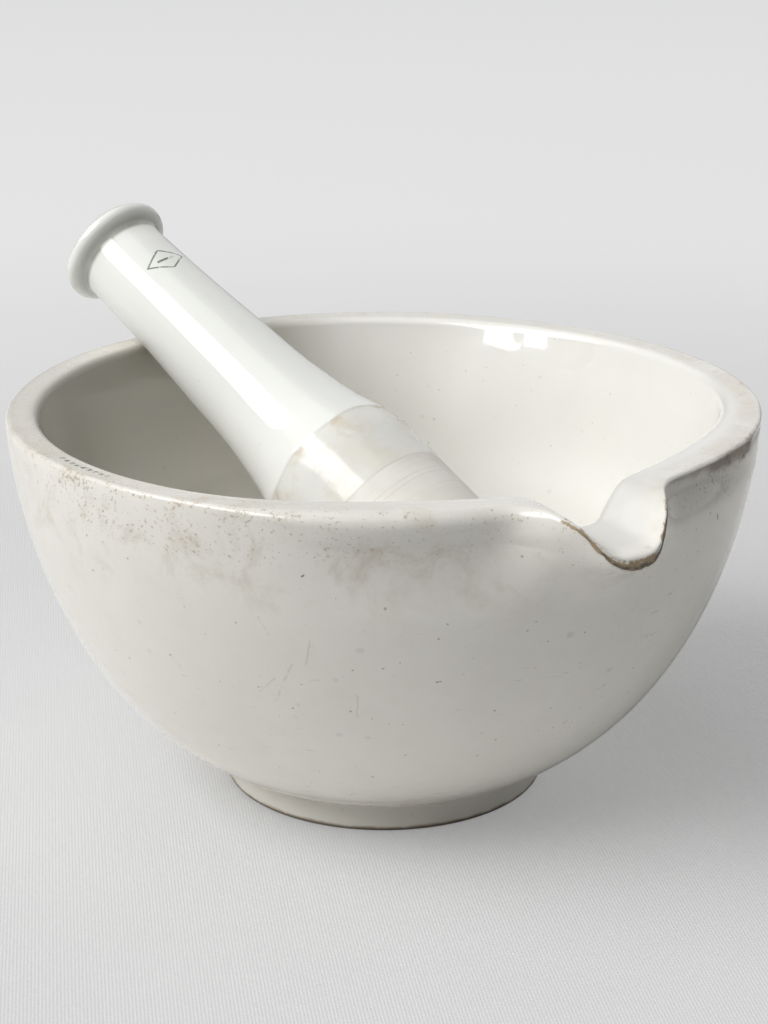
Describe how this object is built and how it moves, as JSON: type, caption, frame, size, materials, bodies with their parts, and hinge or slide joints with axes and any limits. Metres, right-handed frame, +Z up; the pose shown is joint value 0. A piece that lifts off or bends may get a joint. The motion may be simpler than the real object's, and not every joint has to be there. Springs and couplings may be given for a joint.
{
  "type": "mortar and pestle",
  "caption": "Footed porcelain mortar with a pulled pouring lip, and a loose one-piece porcelain pestle with a round knob, leaning in the bowl.",
  "frame": {"origin": "centre of the foot ring, on the plane the mortar stands on", "axes": "+Z up along the axis the mortar was turned on, -Y towards the pouring lip, +X to the right seen from the lip's side"},
  "size_m": [0.26, 0.2983, 0.1894],
  "materials": {
    "mortar_glaze": "glossy",
    "pestle_glaze": "glossy"
  },
  "bodies": {
    "mortar": {"mortar": "mortar_glaze"},
    "pestle": {"pestle": "pestle_glaze"}
  },
  "joints": [
    {"name": "pestle_lift", "type": "slide", "parent": "mortar", "child": "pestle", "axis": [0, 0, 1], "range_m": [0, 0.15]}
  ]
}
